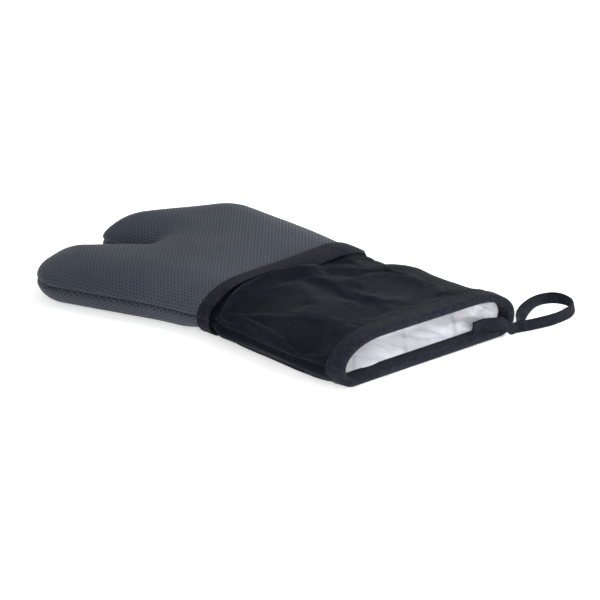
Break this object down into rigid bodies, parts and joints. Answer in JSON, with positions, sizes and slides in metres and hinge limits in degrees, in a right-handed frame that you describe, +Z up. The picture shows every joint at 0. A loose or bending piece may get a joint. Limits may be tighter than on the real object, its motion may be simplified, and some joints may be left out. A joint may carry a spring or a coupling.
{
  "type": "oven mitt",
  "caption": "Quilted heat-resistant oven mitt lying flat, with a textured hand, a cotton cuff, a bound open mouth and a hanging loop.",
  "frame": {"origin": "on the floor under the middle of the palm, on the flat underside of the mitt", "axes": "+X out of the cuff's mouth, along the mitt's length; +Y towards the thumb; +Z up, through the mitt's thickness"},
  "size_m": [0.377, 0.2875, 0.0413],
  "materials": {
    "shell": "dark grey coated knit with a fine dimpled diamond pattern",
    "cotton": "matt black woven cotton",
    "tape": "matt black cotton twill tape",
    "wadding": "off-white wadding",
    "lining": "white quilted cotton",
    "thread": "black sewing thread"
  },
  "bodies": {
    "hand": {"hand_shell_upper": "shell", "hand_shell_lower": "shell", "hand_wadding_upper": "wadding", "hand_wadding_lower": "wadding", "hand_lining_upper": "lining", "hand_lining_lower": "lining", "cuff_cotton_upper": "cotton", "cuff_cotton_lower": "cotton", "cuff_wadding_upper": "wadding", "cuff_wadding_lower": "wadding", "cuff_lining_upper": "lining", "cuff_lining_lower": "lining", "wrist_band": "tape", "mouth_binding": "tape", "binding_stitch_outer": "thread", "binding_stitch_inner": "thread", "cuff_seam_outer": "thread", "cuff_seam_thumb_side": "thread", "hand_seam_outer": "thread", "hand_seam_thumb_side": "thread", "notch_seam": "thread", "loop_tail": "tape"},
    "fingers": {"fingers_shell_upper": "shell", "fingers_shell_lower": "shell", "fingers_wadding_upper": "wadding", "fingers_wadding_lower": "wadding", "fingers_lining_upper": "lining", "fingers_lining_lower": "lining", "fingers_seam": "thread"},
    "thumb": {"thumb_shell_upper": "shell", "thumb_shell_lower": "shell", "thumb_wadding_upper": "wadding", "thumb_wadding_lower": "wadding", "thumb_lining_upper": "lining", "thumb_lining_lower": "lining", "thumb_seam": "thread"},
    "loop": {"hanging_loop": "tape"}
  },
  "joints": [
    {"name": "fingers_fold", "type": "hinge", "parent": "hand", "child": "fingers", "pos_m": [-0.078, -0.027, 0.0375], "axis": [-0.3305, 0.9438, 0], "range_deg": [0, 60]},
    {"name": "thumb_fold", "type": "hinge", "parent": "hand", "child": "thumb", "pos_m": [-0.078, -0.027, 0.0375], "axis": [0.2215, 0.9751, 0], "range_deg": [0, 60]},
    {"name": "loop_swing", "type": "hinge", "parent": "hand", "child": "loop", "pos_m": [0.2267, 0.0872, 0.005], "axis": [0, 0, 1], "range_deg": [-95, 40]}
  ]
}
